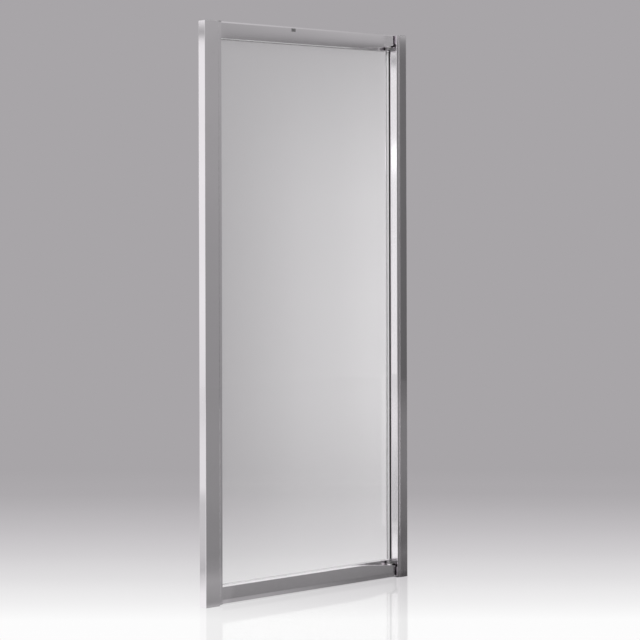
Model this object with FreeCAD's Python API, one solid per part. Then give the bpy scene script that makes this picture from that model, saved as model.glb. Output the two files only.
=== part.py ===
import FreeCAD, Part
import math
import os

from FreeCAD import Vector

# Framed pivot shower door, closed, seen from outside with its pivots on the right.
# Millimetres. Origin: middle of the width and of the depth, at the height of the shower tray.
# +X runs to the pivot side, +Y runs into the shower, +Z is up.

# ---- driving dimensions: whole door ----
WIDTH = 900.0                # wall to wall, over both wall channels
HEIGHT = 1850.0              # tray to the top of the frame
FRAME_DEPTH = 60.0           # front of the wall channels to the back of the head bar

# ---- wall channels and posts ----
CHANNEL_DEPTH = 31.0         # front to back of both wall channels
STRIKE_CHANNEL_WIDTH = 58.0  # wall channel on the closing side
HINGE_CHANNEL_WIDTH = 34.0   # wall channel on the pivot side
CHANNEL_WALL = 1.8
CHANNEL_EDGE = 1.2           # outer corner radius of the channels and posts
POST_PLAY = 0.3              # post sliding in its channel
POST_WALL = 1.8
POST_TO_WALL = 12.0          # room left behind each post for the wall screws' heads
HINGE_LIP = 10.0             # face of the hinge post beside its channel
HINGE_LIP_SETBACK = 3.0      # lip behind the channel's front
HINGE_POST_DEPTH = 47.0      # depth of the hinge post's inner side
REAR_LEG_X = 12.0            # from the hinge post's inner side to its rear leg
REAR_WEB = 2.0               # thickness of the webs along the back
REAR_WEB_WIDTH = 16.0
REAR_LEG_PLAY = 0.6          # strike post's rear leg clear of its channel
CAP_THICKNESS = 2.0          # post top caps
CAP_PLUG_LENGTH = 14.0
CAP_PLUG_PLAY = 0.2

# ---- head bar, threshold and their joiners ----
BAR_DEPTH = 6.5
HEAD_BAR_HEIGHT = 36.0
THRESHOLD_HEIGHT = 26.0
THRESHOLD_BASE_DEPTH = 22.0
THRESHOLD_BASE_PLAY = 2.0    # base plate short of the posts at each end
JOINER_LENGTH = 52.0
JOINER_THICKNESS = 3.0
JOINER_PLAY = 0.3            # joiner clear of the post's leg
JOINER_EDGE = 2.0            # joiner short of the bar's flanges
JOINER_SCREW_SPREAD = 8.0    # screws above and below the joiner's middle

# ---- leaf ----
CLOSING_GAP = 3.0            # channel mouth to closing stile
STILE_FACE = 11.0
STILE_SETBACK = 4.0          # closing stile behind the channels' front
RAIL_SETBACK = 6.0           # rails behind the channels' front
RAIL_HEIGHT = 54.0
LEAF_CLEARANCE = 4.0         # bottom rail above the tray
PROFILE_WALL = 1.8
RAIL_EDGE = 1.0              # fillet along the rails' front edges
TOP_BEVEL_HEIGHT = 5.0       # bevel along the top rail's upper front edge
FOOT_BEVEL_HEIGHT = 13.0     # bevel along the bottom rail's lower front edge
BEVEL_DEPTH = 2.2
SWEEP_LENGTH = 213.0         # stretch of each rail that sweeps away towards the pivot
SWEEP_OVER_BOSS = 3.2        # swept edge beyond the pivot's boss, where its corner begins
SWEEP_CORNER = 17.0          # rounded corner that ends the sweep
END_BLOCK_LENGTH = 54.0      # pivot block seen beyond the rail's end
PIVOT_END_GAP = 3.0          # pivot block to the hinge post
BACK_CORNER_PLAY = 0.3       # pivot block's rear corner, beyond the rail's back
STILE_CAP = 1.5

# ---- glass and its gaskets ----
GLASS_SETBACK = 41.0         # front of the glass behind the channels' front
GLASS_THICKNESS = 6.0
GLASS_BITE = 10.0            # glass inside each rail and the stile
GLASS_TO_REVEAL = 7.5        # glass edge to the hinge post's inner side
GLASS_ARRIS = 0.6            # ground edge of the glass
GASKET = 3.2                 # gasket beside the glass
GASKET_FLOOR = 2.5
GASKET_LIP = 1.5             # gasket standing out of the rails
POCKET_DEPTH = 14.0
SETTING_BLOCK_LENGTH = 60.0

# ---- pivots ----
END_RADIUS = 17.0            # plan radius of the leaf's front corner about the pivot
PIN_RADIUS = 4.0
PIN_PLAY = 0.05              # running clearance, pin in bush
BUSH_WALL = 2.0
BUSH_LENGTH = 19.0
BUSH_HEADROOM = 1.0          # pin short of the bottom of its bore
PIN_SHORT = 1.0
BRACKET_OFFSET = 2.0         # bracket beyond the rail's glass edge
BRACKET_THICKNESS = 8.0
BRACKET_HALF_WIDTH = 11.0
BRACKET_PLAY = 0.2           # bracket in its slot in the hinge post
BRACKET_FOOT_REACH = 22.0    # foot above and below the bracket's arm
BRACKET_FOOT_HALF_WIDTH = 9.0
WASHER_THICKNESS = 2.0
WASHER_RADIUS = 10.0
WASHER_PLAY = 0.2
GRUB_RADIUS = 2.0

# ---- seals and magnets ----
MAGNET_CARRIER = 1.6
MAGNET = 1.2
MAGNET_WIDTH = 8.0
MAGNET_CARRIER_WIDTH = 12.0
MAGNET_SETBACK = 20.0        # middle of the magnets behind the channels' front
MAGNET_END = 6.0             # carriers short of the rails
BULB_HEIGHT = 8.0
BULB_EDGE = 2.0
BULB_PLAY = 0.4              # bulb seals clear of the leaf
BULB_LIFT = 12.0             # threshold bulb above the tray
HINGE_SEAL_LEAD = 3.0        # hinge seal in front of the glass
HINGE_SEAL_TAIL = 3.0        # hinge seal behind the glass
HINGE_SEAL_GRIP = 1.5
HINGE_SEAL_PLAY = 0.6
SWEEP_SEAL_BACK = 28.0       # sweep seal behind the rails' front
SWEEP_SEAL_FIN = 1.2
SWEEP_SEAL_FOOT = 5.0
SWEEP_SEAL_ROOT = 1.8
SWEEP_SEAL_PLAY = 0.5        # seal above the tray
SWEEP_SEAL_END = 5.0

# ---- fixings ----
WALL_HOLE_RADIUS = 2.6
WALL_HOLE_COUNT = 4
WALL_HOLE_FIRST = 100.0      # end wall fixings from the channels' ends
ADJUST_SCREW_COUNT = 3
ADJUST_SCREW_FIRST = 200.0   # end adjusting screws from the channels' ends
ADJUST_SCREW_LENGTH = 11.0
ADJUST_SCREW_INSET = 18.0    # from the channel's mouth
SCREW_RADIUS = 2.0
SCREW_HEAD_RADIUS = 3.6
SCREW_HEAD = 2.2
SCREW_SLOT = 1.0
COUNTERSINK = 1.6            # depth of the joiner screws' heads
COVER_RADIUS = 6.0
COVER_THICKNESS = 3.4
CORNER_BLOCK_LENGTH = 30.0
CORNER_BLOCK_PLAY = 0.2
CORNER_SCREW_LOW = 14.0      # corner screws from the rail's glass edge
CORNER_SCREW_HIGH = 37.0
CORNER_SCREW_LENGTH = 28.0
ACCESS_RADIUS = 4.5
PLUG_LENGTH = 42.0           # pivot block inside the rail
BLOCK_SCREW_NEAR = 12.0      # block screws from the rail's end
BLOCK_SCREW_FAR = 30.0
BLOCK_SCREW_LENGTH = 16.0
BRACKET_SCREW_LENGTH = 7.0
BRACKET_SCREW_OUT = 14.0     # bracket screws from the middle of the arm

# ---- clip on the top rail ----
CLIP_X = -67.0
CLIP_WIDTH = 18.0
CLIP_HEIGHT = 16.0
CLIP_PROUD = 0.5
CLIP_TAB = 4.0
CLIP_PLAY = 0.15

# ---- places worked out from them ----
left = -WIDTH / 2
right = WIDTH / 2
front = -FRAME_DEPTH / 2
back = FRAME_DEPTH / 2
channel_back = front + CHANNEL_DEPTH
strike_mouth = left + STRIKE_CHANNEL_WIDTH
hinge_mouth = right - HINGE_CHANNEL_WIDTH
reveal = hinge_mouth - HINGE_LIP
rear_leg = reveal + REAR_LEG_X
web_front = back - REAR_WEB
bar_front = back - BAR_DEPTH
post_top = HEIGHT - CAP_THICKNESS
post_front = front + CHANNEL_WALL + POST_PLAY
post_back = channel_back - CHANNEL_WALL - POST_PLAY
strike_face = strike_mouth - 2 * POST_PLAY
stile_left = strike_mouth + CLOSING_GAP
stile_right = stile_left + STILE_FACE
stile_front = front + STILE_SETBACK
bar_start = stile_right
bar_end = rear_leg + REAR_WEB - REAR_WEB_WIDTH
joiner_over_post = REAR_WEB_WIDTH - REAR_WEB - JOINER_PLAY
rail_front = front + RAIL_SETBACK
glass_front = front + GLASS_SETBACK
glass_back = glass_front + GLASS_THICKNESS
pocket_front = glass_front - GASKET
pocket_back = glass_back + GASKET
rib_front = pocket_front - PROFILE_WALL
rail_back = pocket_back + PROFILE_WALL
leaf_end = reveal - PIVOT_END_GAP
seam = leaf_end - END_BLOCK_LENGTH
sweep_start = leaf_end - SWEEP_LENGTH
axis_x = leaf_end - END_RADIUS
axis_y = rail_front + END_RADIUS
glass_right = reveal - GLASS_TO_REVEAL
glass_left = stile_right + POCKET_DEPTH - GLASS_BITE
leaf_top = HEIGHT
bottom_edge = LEAF_CLEARANCE + RAIL_HEIGHT
top_edge = HEIGHT - RAIL_HEIGHT
bush_radius = PIN_RADIUS + PIN_PLAY + BUSH_WALL
washer_start = BRACKET_OFFSET + BRACKET_THICKNESS
boss_face = washer_start + WASHER_THICKNESS + WASHER_PLAY
sweep_run = SWEEP_LENGTH - SWEEP_CORNER
sweep_end_rise = boss_face + SWEEP_OVER_BOSS
sweep_radius = (sweep_run ** 2 + sweep_end_rise ** 2) / (2 * sweep_end_rise)
bracket_middle = BRACKET_OFFSET + BRACKET_THICKNESS / 2

# each rail is worked out from its glass edge outwards: +1 for the top rail, -1 for the bottom one
ENDS = {"top": (top_edge, 1), "bottom": (bottom_edge, -1)}


def save(shape, name):
    shape.exportStep("parts/" + name + ".step")


def block(x0, x1, y0, y1, z0, z1):
    low = Vector(min(x0, x1), min(y0, y1), min(z0, z1))
    return Part.makeBox(abs(x1 - x0), abs(y1 - y0), abs(z1 - z0), low)


def rod(radius, start, end):
    way = end.sub(start)
    return Part.makeCylinder(radius, way.Length, start, way)


def rounded_face(points, radius):
    """Flat face through the points, with every corner rounded."""
    edges = []
    count = len(points)
    ends = []
    for i in range(count):
        here = points[i]
        to_last = points[i - 1].sub(here).normalize()
        to_next = points[(i + 1) % count].sub(here).normalize()
        cut_in = here.add(to_last.multiply(radius))
        cut_out = here.add(to_next.multiply(radius))
        chord = cut_in.add(cut_out).multiply(0.5)
        depth = here.sub(chord)
        reach = depth.Length
        middle = chord.add(depth.normalize().multiply(reach * (math.sqrt(2) - 1)))
        edges.append(Part.Arc(cut_in, middle, cut_out).toShape())
        ends.append((cut_in, cut_out))
    for i in range(count):
        edges.append(Part.makeLine(ends[i][1], ends[(i + 1) % count][0]))
    return Part.Face(Part.Wire(Part.__sortEdges__(edges)))


def upright(x0, x1, y0, y1, z0, z1, radius):
    """Upright bar with rounded corners."""
    points = [Vector(x0, y0, z0), Vector(x1, y0, z0), Vector(x1, y1, z0), Vector(x0, y1, z0)]
    return rounded_face(points, radius).extrude(Vector(0, 0, z1 - z0))


def joined(shapes):
    whole = shapes[0]
    for shape in shapes[1:]:
        whole = whole.fuse(shape)
    return whole.removeSplitter()


def slotted_head(base, way, radius, height):
    """Pan head with a cross recess, standing on base and pointing along way."""
    head = Part.makeCylinder(radius, height, base, way)
    rim = [edge for edge in head.Edges if edge.CenterOfMass.sub(base).dot(way) > height / 2]
    head = head.makeFillet(height * 0.45, [edge for edge in rim if len(edge.Vertexes) == 1])
    depth = height * 0.5
    side = Vector(way.y, way.z, way.x)
    other = way.cross(side)
    for long_way, short_way in ((side, other), (other, side)):
        half = long_way * (radius * 0.62)
        thin = short_way * (SCREW_SLOT / 2)
        start = base.add(way * (height - depth))
        corners = [start.add(half).add(thin), start.add(half).sub(thin),
                   start.sub(half).sub(thin), start.sub(half).add(thin)]
        face = Part.Face(Part.makePolygon(corners + corners[:1]))
        head = head.cut(face.extrude(way * (depth + 1)))
    return head


def screw(base, way, length):
    """Screw whose head stands on base; the shank runs back against way."""
    head = slotted_head(base, way, SCREW_HEAD_RADIUS, SCREW_HEAD)
    return head.fuse(rod(SCREW_RADIUS, base, base.sub(way * length)))


def sweep_rise(x):
    """How far the rail's glass edge has swept away at x."""
    run = max(0.0, x - sweep_start)
    return sweep_radius - math.sqrt(sweep_radius ** 2 - run ** 2)


def sweep_arc(x0, x1, place, lift):
    """Part of the swept edge between x0 and x1, lifted into the rail."""
    xs = (x0, (x0 + x1) / 2, x1)
    points = [place(x, sweep_rise(x) + lift) for x in xs]
    return Part.Arc(points[0], points[1], points[2]).toShape()


def closed_face(curves, corners):
    """Face bounded by the curves, then by straight lines through the corners."""
    first = curves[0].Vertexes[0].Point
    last = curves[-1].Vertexes[-1].Point
    points = [last] + corners + [first]
    lines = [Part.makeLine(points[i], points[i + 1]) for i in range(len(points) - 1)]
    return Part.Face(Part.Wire(Part.__sortEdges__(curves + lines)))


# ---- wall channels, posts and caps ----

def spread_heights(end, count):
    """Heights spread evenly between the two ends of the frame."""
    spacing = (HEIGHT - 2 * end) / (count - 1)
    return [end + i * spacing for i in range(count)]


def wall_hole_heights():
    return spread_heights(WALL_HOLE_FIRST, WALL_HOLE_COUNT)


def adjust_heights():
    return spread_heights(ADJUST_SCREW_FIRST, ADJUST_SCREW_COUNT)


def wall_channel(wall, mouth):
    """Channel on its wall, open at its mouth, with the wall's screw holes."""
    inward = 1 if mouth > wall else -1
    outer = upright(min(wall, mouth), max(wall, mouth), front, channel_back, 0, post_top, CHANNEL_EDGE)
    inner_wall = wall + inward * CHANNEL_WALL
    room = block(inner_wall, mouth + inward, front + CHANNEL_WALL, channel_back - CHANNEL_WALL, 0, post_top)
    channel = outer.cut(room)
    middle = front + CHANNEL_DEPTH / 2
    for z in wall_hole_heights():
        start = Vector(wall - inward, middle, z)
        channel = channel.cut(rod(WALL_HOLE_RADIUS, start, Vector(inner_wall + inward, middle, z)))
    x = mouth - inward * ADJUST_SCREW_INSET
    for z in adjust_heights():
        start = Vector(x, channel_back - 2 * CHANNEL_WALL, z)
        channel = channel.cut(rod(SCREW_RADIUS, start, Vector(x, channel_back + 1, z)))
    return channel


def strike_channel():
    """Closing side's channel, its rear leg cut short for the post's own rear leg."""
    x0 = strike_face - REAR_WEB - REAR_LEG_PLAY
    room = block(x0, strike_mouth + 1, channel_back - CHANNEL_WALL, channel_back + 1, 0, post_top)
    return wall_channel(left, strike_mouth).cut(room)


def adjust_bores(shape, x):
    for z in adjust_heights():
        start = Vector(x, post_back - 2 * POST_WALL, z)
        shape = shape.cut(rod(SCREW_RADIUS, start, Vector(x, post_back + 1, z)))
    return shape


def strike_post():
    """Post on the closing side, with the rear leg and web that the leaf closes in front of."""
    x0 = left + POST_TO_WALL
    tube = block(x0, strike_face, post_front, post_back, 0, post_top)
    hollow = block(x0 + POST_WALL, strike_face - POST_WALL, post_front + POST_WALL,
                   post_back - POST_WALL, 0, post_top)
    leg = block(strike_face - REAR_WEB, strike_face, post_back - POST_WALL, back, 0, post_top)
    web = block(strike_face - REAR_WEB, stile_right, web_front, back, 0, post_top)
    post = bore_for_joiners(joined([tube, leg, web]).cut(hollow))
    return adjust_bores(post, strike_mouth - ADJUST_SCREW_INSET)


def hinge_post():
    """Post on the pivot side: deep inner box, tongue in the channel, rear leg and web."""
    box_front = front + HINGE_LIP_SETBACK
    box_back = box_front + HINGE_POST_DEPTH
    x1 = right - POST_TO_WALL
    box = upright(reveal, hinge_mouth, box_front, box_back, 0, post_top, CHANNEL_EDGE)
    tongue = block(hinge_mouth - POST_WALL, x1, post_front, post_back, 0, post_top)
    shelf = block(hinge_mouth - POST_WALL, rear_leg + REAR_WEB, box_back - REAR_WEB, box_back, 0, post_top)
    leg = block(rear_leg, rear_leg + REAR_WEB, box_back - REAR_WEB, back, 0, post_top)
    web = block(bar_end, rear_leg + REAR_WEB, web_front, back, 0, post_top)
    post = joined([box, tongue, shelf, leg, web])
    post = post.cut(block(reveal + POST_WALL, hinge_mouth - POST_WALL, box_front + POST_WALL,
                          box_back - POST_WALL, 0, post_top))
    post = post.cut(block(hinge_mouth, x1 - POST_WALL, post_front + POST_WALL,
                          post_back - POST_WALL, 0, post_top))
    for edge, sign in ENDS.values():
        z0 = edge + sign * (BRACKET_OFFSET - BRACKET_PLAY)
        z1 = edge + sign * (washer_start + BRACKET_PLAY)
        half = BRACKET_HALF_WIDTH + BRACKET_PLAY
        post = post.cut(block(reveal - 1, reveal + 2 * POST_WALL, axis_y - half, axis_y + half, z0, z1))
        for z in bracket_screw_heights(edge, sign):
            start = Vector(hinge_mouth - 2 * POST_WALL, axis_y, z)
            post = post.cut(rod(SCREW_RADIUS, start, Vector(hinge_mouth + 1, axis_y, z)))
    return adjust_bores(bore_for_joiners(post), hinge_mouth + ADJUST_SCREW_INSET)


def strike_cap():
    plate = upright(left, strike_mouth, front, channel_back, post_top, HEIGHT, CHANNEL_EDGE)
    inset = POST_WALL + CAP_PLUG_PLAY
    plug = block(left + POST_TO_WALL + inset, strike_face - inset, post_front + inset,
                 post_back - inset, post_top - CAP_PLUG_LENGTH, post_top)
    return joined([plate, plug])


def hinge_cap():
    box_front = front + HINGE_LIP_SETBACK
    plate = upright(hinge_mouth, right, front, channel_back, post_top, HEIGHT, CHANNEL_EDGE)
    lip = upright(reveal, hinge_mouth + 2 * CHANNEL_EDGE, box_front, box_front + HINGE_POST_DEPTH,
                  post_top, HEIGHT, CHANNEL_EDGE)
    inset = POST_WALL + CAP_PLUG_PLAY
    plug = block(hinge_mouth + CAP_PLUG_PLAY, right - POST_TO_WALL - inset, post_front + inset,
                 post_back - inset, post_top - CAP_PLUG_LENGTH, post_top)
    return joined([plate, lip, plug])


def adjust_screws(x):
    way = Vector(0, 1, 0)
    return Part.makeCompound([screw(Vector(x, channel_back, z), way, ADJUST_SCREW_LENGTH)
                              for z in adjust_heights()])


def screw_covers(x):
    """Snap covers over the adjusting screws."""
    covers = []
    for z in adjust_heights():
        base = Vector(x, channel_back, z)
        way = Vector(0, 1, 0)
        cover = Part.makeCylinder(COVER_RADIUS, COVER_THICKNESS, base, way)
        outer = [edge for edge in cover.Edges
                 if len(edge.Vertexes) == 1 and edge.CenterOfMass.y > channel_back + 1]
        cover = cover.makeFillet(COVER_THICKNESS * 0.5, outer)
        cover = cover.cut(Part.makeCylinder(SCREW_HEAD_RADIUS, SCREW_HEAD, base, way))
        covers.append(cover)
    return Part.makeCompound(covers)


# ---- head bar, threshold and joiners ----

def joiner_screw_places(bar_low, bar_high):
    """Screw places in X and Z on both joiners of one bar."""
    middle = (bar_low + bar_high) / 2
    on_post = joiner_over_post / 2
    on_bar = JOINER_LENGTH - 3 * on_post
    xs = {"left": (bar_start - on_post, bar_start + on_bar),
          "right": (bar_end + on_post, bar_end - on_bar)}
    return {side: [(x, middle + dz) for x in pair for dz in (-JOINER_SCREW_SPREAD, JOINER_SCREW_SPREAD)]
            for side, pair in xs.items()}


BARS = {"top": (post_top - HEAD_BAR_HEIGHT, post_top), "bottom": (0.0, THRESHOLD_HEIGHT)}


def countersunk(x, z):
    """Countersunk screw, flush with the back of the frame."""
    face = Vector(x, back, z)
    shank = rod(SCREW_RADIUS, face, Vector(x, web_front - JOINER_THICKNESS, z))
    head = Part.makeCone(SCREW_HEAD_RADIUS, SCREW_RADIUS, COUNTERSINK, face, Vector(0, -1, 0))
    return shank.fuse(head).removeSplitter()


def joiner_screw_shapes():
    return [countersunk(x, z) for low, high in BARS.values()
            for places in joiner_screw_places(low, high).values() for x, z in places]


def bore_for_joiners(shape):
    for solid in joiner_screw_shapes():
        shape = shape.cut(solid)
    return shape


def channel_bar(low, high):
    """Bar between the posts: web at the back, flanges towards the leaf."""
    web = block(bar_start, bar_end, web_front, back, low, high)
    upper = block(bar_start, bar_end, bar_front, web_front, high - REAR_WEB, high)
    lower = block(bar_start, bar_end, bar_front, web_front, low, low + REAR_WEB)
    return joined([web, upper, lower])


def head_bar():
    return bore_for_joiners(channel_bar(*BARS["top"]))


def threshold():
    """Bar on the tray with a thin base that runs forward under the leaf."""
    bar = channel_bar(*BARS["bottom"])
    base = block(stile_right + THRESHOLD_BASE_PLAY, reveal - THRESHOLD_BASE_PLAY,
                 back - THRESHOLD_BASE_DEPTH, web_front, 0, REAR_WEB)
    return bore_for_joiners(joined([bar, base]))


def joiner(low, high, side):
    """Flat plate that ties a bar to its post, lying on both webs."""
    x0 = bar_start - joiner_over_post
    if side == "right":
        x0 = bar_end + joiner_over_post - JOINER_LENGTH
    z0 = low + REAR_WEB + JOINER_EDGE
    z1 = high - REAR_WEB - JOINER_EDGE
    plate = block(x0, x0 + JOINER_LENGTH, web_front - JOINER_THICKNESS, web_front, z0, z1)
    return bore_for_joiners(plate)


def joiner_screws():
    screws = []
    for solid in joiner_screw_shapes():
        middle = solid.BoundBox.Center
        half = SCREW_HEAD_RADIUS * 0.6
        for wide, tall in ((half, SCREW_SLOT / 2), (SCREW_SLOT / 2, half)):
            solid = solid.cut(block(middle.x - wide, middle.x + wide, back - SCREW_SLOT, back + 1,
                                    middle.z - tall, middle.z + tall))
        screws.append(solid)
    return Part.makeCompound(screws)


# ---- leaf: rails, stile and their blocks ----

def rail(edge, sign):
    """Hollow rail: front box that sweeps away towards the pivot, glazing pocket behind it."""
    def place(y):
        return lambda x, u: Vector(x, y, edge + sign * u)

    def box_face(y, wall):
        at = place(y)
        flat = Part.makeLine(at(stile_right, wall), at(sweep_start, wall))
        arc = sweep_arc(sweep_start, seam, at, wall)
        far = RAIL_HEIGHT - wall
        return closed_face([flat, arc], [at(seam, far), at(stile_right, far)])

    outer = box_face(rail_front, 0).extrude(Vector(0, rib_front - rail_front, 0))
    bevel_height = TOP_BEVEL_HEIGHT if sign > 0 else FOOT_BEVEL_HEIGHT
    outer = outer.cut(bevel(edge, sign, stile_right, seam, bevel_height))
    soft = [e for e in outer.Edges if front_glass_edge(e, edge, sign)]
    outer = outer.makeFillet(RAIL_EDGE, soft)
    room = box_face(rail_front + PROFILE_WALL, PROFILE_WALL)
    room = room.extrude(Vector(0, rib_front - rail_front - PROFILE_WALL, 0))
    if sign < 0:
        lip = BEVEL_DEPTH
        low = edge - RAIL_HEIGHT
        room = room.cut(block(stile_right, seam, rail_front, rail_front + PROFILE_WALL + lip,
                              low, low + FOOT_BEVEL_HEIGHT))
    else:
        room = room.cut(block(stile_right, seam, rail_front, rail_front + PROFILE_WALL + BEVEL_DEPTH,
                              edge + RAIL_HEIGHT - TOP_BEVEL_HEIGHT, edge + RAIL_HEIGHT))
    body = joined([outer.cut(room), pocket(edge, sign, stile_right, seam)])
    for u in (CORNER_SCREW_LOW, CORNER_SCREW_HIGH):
        start = Vector(stile_right - 1, axis_y, edge + sign * u)
        body = body.cut(rod(SCREW_RADIUS, start, start.add(Vector(2, 0, 0))))
    for x in (seam - BLOCK_SCREW_NEAR, seam - BLOCK_SCREW_FAR):
        start = Vector(x, axis_y, edge + sign * (RAIL_HEIGHT - 2 * PROFILE_WALL))
        far = Vector(x, axis_y, edge + sign * (RAIL_HEIGHT + 1))
        body = body.cut(rod(SCREW_RADIUS, start, far))
        flush = Vector(x, axis_y, edge + sign * (RAIL_HEIGHT - SCREW_HEAD / 2))
        body = body.cut(rod(SCREW_HEAD_RADIUS, flush, far))
    return body


def front_glass_edge(line, edge, sign):
    """True for the rail's long front edges beside the glass."""
    middle = line.CenterOfMass
    at_front = all(abs(v.Point.y - rail_front) < 0.01 for v in line.Vertexes)
    along = line.BoundBox.XLength > RAIL_HEIGHT
    return at_front and along and (middle.z - edge) * sign < RAIL_HEIGHT / 2


def bevel(edge, sign, x0, x1, height):
    """Wedge that bevels the rail's outer front edge."""
    z_far = edge + sign * RAIL_HEIGHT
    corners = [Vector(x0, rail_front, z_far - sign * height), Vector(x0, rail_front, z_far),
               Vector(x0, rail_front + BEVEL_DEPTH, z_far)]
    face = Part.Face(Part.makePolygon(corners + corners[:1]))
    return face.extrude(Vector(x1 - x0, 0, 0))


def pocket(edge, sign, x0, x1):
    """Rear part of a rail: the glazing pocket and the closed chamber beyond it."""
    outer = block(x0, x1, rib_front, rail_back, edge, edge + sign * RAIL_HEIGHT)
    slot = block(x0, x1, pocket_front, pocket_back, edge, edge + sign * POCKET_DEPTH)
    chamber = block(x0, x1, pocket_front, pocket_back, edge + sign * (POCKET_DEPTH + PROFILE_WALL),
                    edge + sign * (RAIL_HEIGHT - PROFILE_WALL))
    return outer.cut(slot).cut(chamber)


def top_rail():
    """Top rail with the notch for the small clip."""
    z1 = leaf_top
    z0 = z1 - CLIP_HEIGHT
    half = CLIP_WIDTH / 2
    notch = block(CLIP_X - half, CLIP_X + half, rail_front - 1, rail_front + PROFILE_WALL + BEVEL_DEPTH,
                  z0, z1 - PROFILE_WALL - CLIP_TAB)
    return rail(*ENDS["top"]).cut(notch)


def bottom_rail():
    """Bottom rail with the groove that holds the sweep seal."""
    y = rail_front + SWEEP_SEAL_BACK
    groove = block(stile_right, seam, y - SWEEP_SEAL_FIN / 2, y + SWEEP_SEAL_FIN / 2,
                   LEAF_CLEARANCE, LEAF_CLEARANCE + PROFILE_WALL)
    return rail(*ENDS["bottom"]).cut(groove)


def rail_clip():
    """Small moulded clip snapped into the top rail's front."""
    half = CLIP_WIDTH / 2 - CLIP_PLAY
    z1 = leaf_top - PROFILE_WALL - CLIP_TAB - CLIP_PLAY
    z0 = leaf_top - CLIP_HEIGHT + CLIP_PLAY
    face = block(CLIP_X - half, CLIP_X + half, rail_front - CLIP_PROUD, rail_front + PROFILE_WALL, z0, z1)
    step = block(CLIP_X - half, CLIP_X, rail_front - CLIP_PROUD, rail_front, z0, (z0 + z1) / 2)
    tab_low = block(CLIP_X - half, CLIP_X + half, rail_front + PROFILE_WALL,
                    rail_front + 2 * PROFILE_WALL, z0 - CLIP_TAB / 2, z1)
    return joined([face.cut(step), tab_low])


def closing_stile():
    """Deep stile on the closing side, with fins that hold the glass between the rails."""
    low = LEAF_CLEARANCE + STILE_CAP
    high = leaf_top - STILE_CAP
    tube = upright(stile_left, stile_right, stile_front, rail_back, low, high, RAIL_EDGE)
    hollow = block(stile_left + PROFILE_WALL, stile_right - PROFILE_WALL, stile_front + PROFILE_WALL,
                   rail_back - PROFILE_WALL, low, high)
    fins = [block(stile_right - PROFILE_WALL, stile_right + POCKET_DEPTH, y0, y0 + PROFILE_WALL,
                  bottom_edge, top_edge) for y0 in (rib_front, pocket_back)]
    stile = joined([tube] + fins).cut(hollow)
    for edge, sign in ENDS.values():
        for u in (CORNER_SCREW_LOW, CORNER_SCREW_HIGH):
            z = edge + sign * u
            outer = Vector(stile_left - 1, axis_y, z)
            inner = Vector(stile_right + 1, axis_y, z)
            stile = stile.cut(rod(ACCESS_RADIUS, outer, Vector(stile_left + 2 * PROFILE_WALL, axis_y, z)))
            stile = stile.cut(rod(SCREW_RADIUS, outer, inner))
    return stile


def stile_cap(z0):
    return upright(stile_left, stile_right, stile_front, rail_back, z0, z0 + STILE_CAP, RAIL_EDGE)


def corner_block(edge, sign):
    """Block in the rail's closing end that takes the corner screws."""
    inset = PROFILE_WALL + CORNER_BLOCK_PLAY
    body = block(stile_right, stile_right + CORNER_BLOCK_LENGTH, rail_front + inset + BEVEL_DEPTH,
                 rib_front - CORNER_BLOCK_PLAY, edge + sign * inset, edge + sign * (RAIL_HEIGHT - inset))
    for u in (CORNER_SCREW_LOW, CORNER_SCREW_HIGH):
        start = Vector(stile_right, axis_y, edge + sign * u)
        body = body.cut(rod(SCREW_RADIUS, start, start.add(Vector(CORNER_SCREW_LENGTH, 0, 0))))
    return body


def corner_screws():
    screws = []
    for edge, sign in ENDS.values():
        for u in (CORNER_SCREW_LOW, CORNER_SCREW_HIGH):
            base = Vector(stile_right - PROFILE_WALL, axis_y, edge + sign * u)
            screws.append(screw(base, Vector(-1, 0, 0), CORNER_SCREW_LENGTH))
    return Part.makeCompound(screws)


# ---- pivots ----

def leaf_end_plan(z0, z1):
    """Plan shape of the leaf's pivot end: front corner and rear corner turn about the pivot."""
    reach = rail_back - axis_y + BACK_CORNER_PLAY
    bend = math.atan2(math.sqrt(reach ** 2 - END_RADIUS ** 2), END_RADIUS)
    stop = math.asin((rail_back - axis_y) / reach)

    def turn(radius, angle):
        return Vector(axis_x + radius * math.cos(angle), axis_y + radius * math.sin(angle), z0)

    nose = Part.Arc(turn(END_RADIUS, -math.pi / 2), turn(END_RADIUS, -math.pi / 4), turn(END_RADIUS, 0))
    heel = Part.Arc(turn(reach, bend), turn(reach, (bend + stop) / 2), turn(reach, stop))
    side = Part.makeLine(turn(END_RADIUS, 0), turn(reach, bend))
    corners = [Vector(seam - PLUG_LENGTH, rail_back, z0), Vector(seam - PLUG_LENGTH, rail_front, z0)]
    face = closed_face([nose.toShape(), side, heel.toShape()], corners)
    return face.extrude(Vector(0, 0, z1 - z0))


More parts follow.
